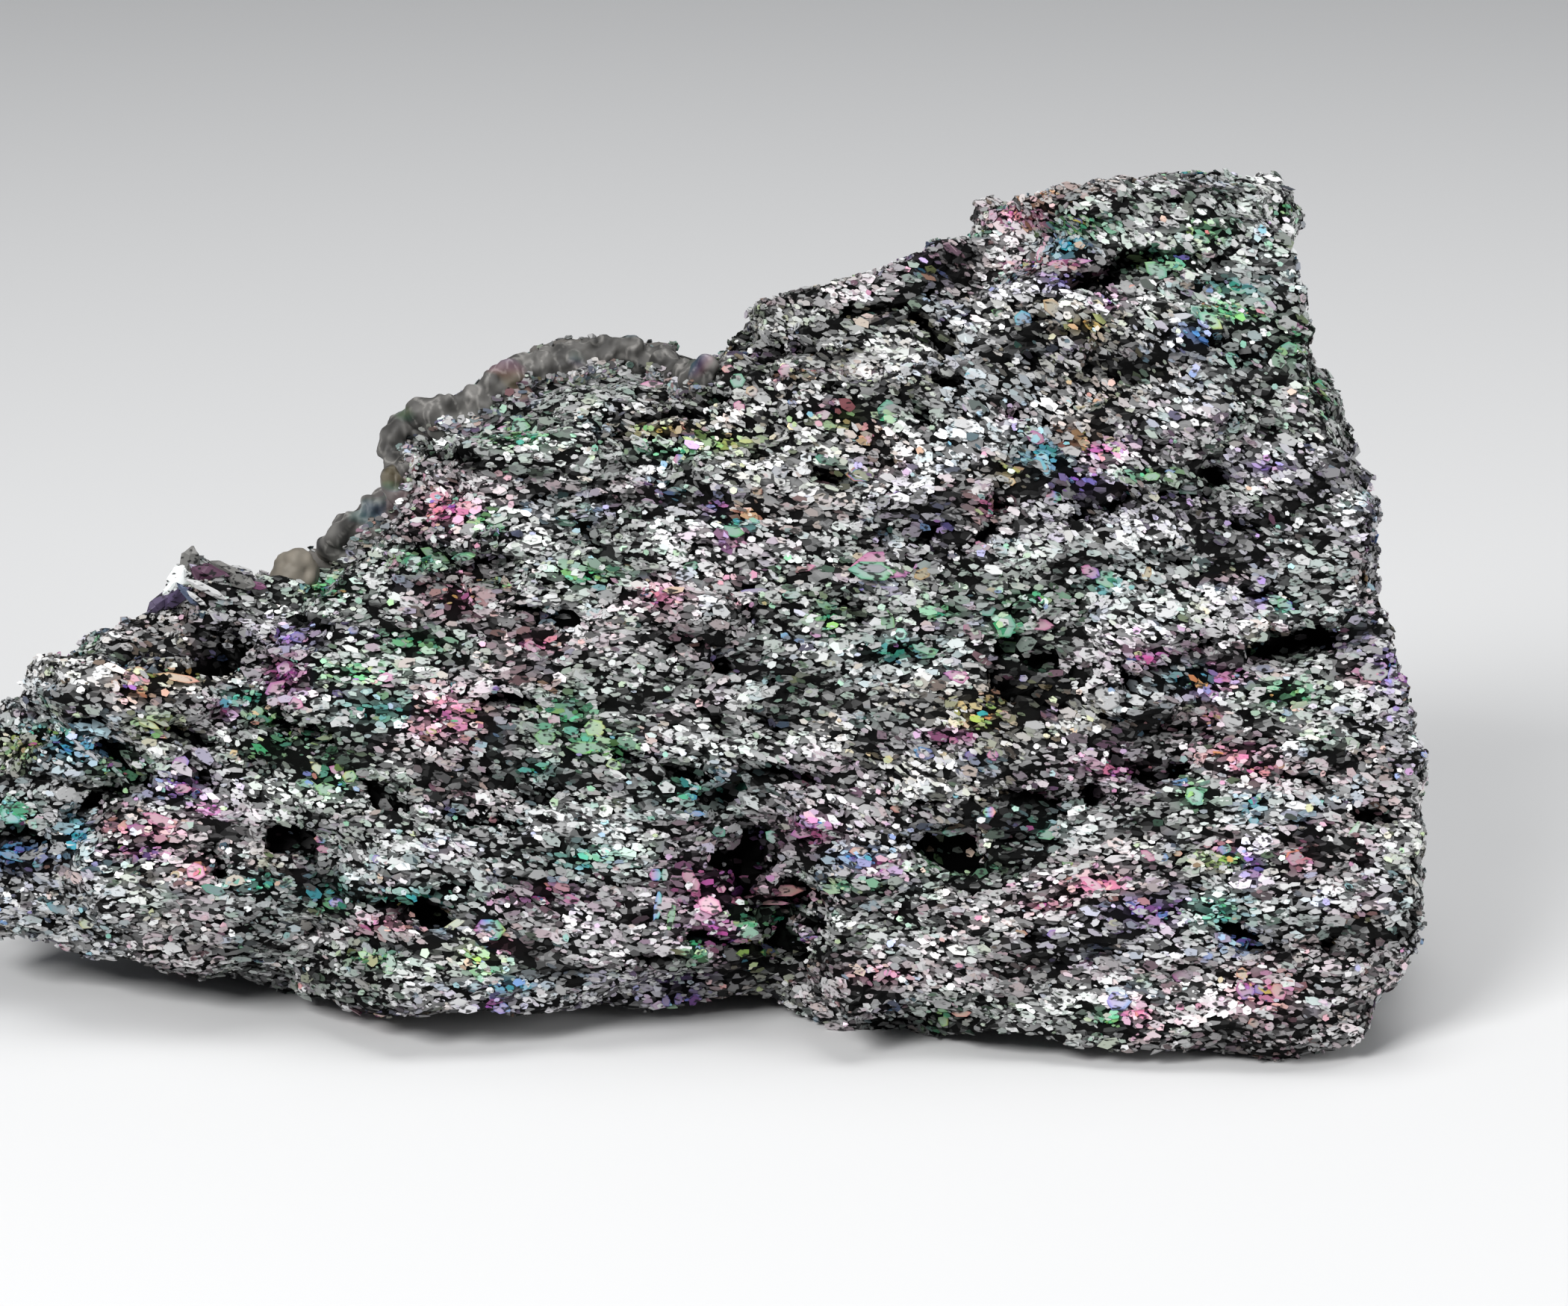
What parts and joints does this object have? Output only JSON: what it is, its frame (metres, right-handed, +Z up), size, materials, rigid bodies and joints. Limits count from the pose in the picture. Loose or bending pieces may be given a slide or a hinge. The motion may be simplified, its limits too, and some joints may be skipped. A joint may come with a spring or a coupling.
{
  "type": "silicon carbide crystal",
  "caption": "Furnace-grown mass of silicon carbide, of thin platy crystals grown together in wavy overlapping beds, that stands on its long lower edge.",
  "frame": {"origin": "middle of the bounding box's bottom face, where the mass rests", "axes": "+X along the length towards the tall end, +Y away from the broad face, +Z up"},
  "size_m": [0.1008, 0.0446, 0.0564],
  "materials": {
    "silicon_carbide": "adamantine to metallic flakes with thin iridescent films"
  },
  "bodies": {
    "root": {"crystal_mass": "silicon_carbide"}
  },
  "joints": []
}
